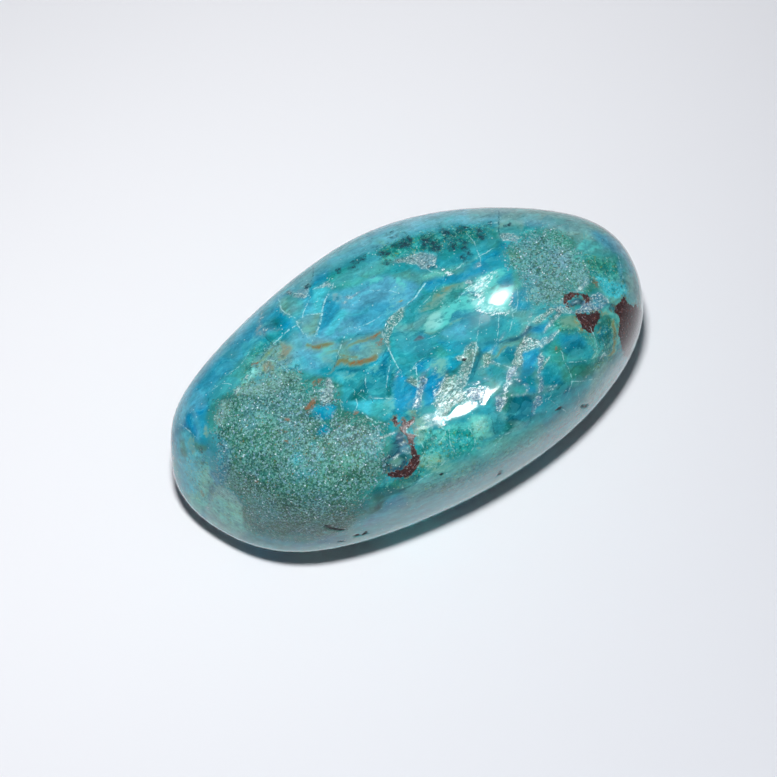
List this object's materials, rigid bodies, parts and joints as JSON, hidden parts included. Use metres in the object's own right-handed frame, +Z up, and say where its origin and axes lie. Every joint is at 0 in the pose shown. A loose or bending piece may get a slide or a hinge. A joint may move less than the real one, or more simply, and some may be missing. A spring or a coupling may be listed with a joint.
{
  "type": "polished chrysocolla palm stone",
  "caption": "Tumbled and polished oval mineral specimen that lies on its broad side; a display, handling or paperweight stone.",
  "frame": {"origin": "on the lapped spot that the stone rests on, under the middle of its bounding box", "axes": "+X along the stone towards its reddish end, +Y across it, +Z up, out of its broad back"},
  "size_m": [0.064, 0.0342, 0.0248],
  "materials": {
    "polished_chrysocolla": "polished"
  },
  "bodies": {
    "root": {"chrysocolla_stone": "polished_chrysocolla"}
  },
  "joints": []
}
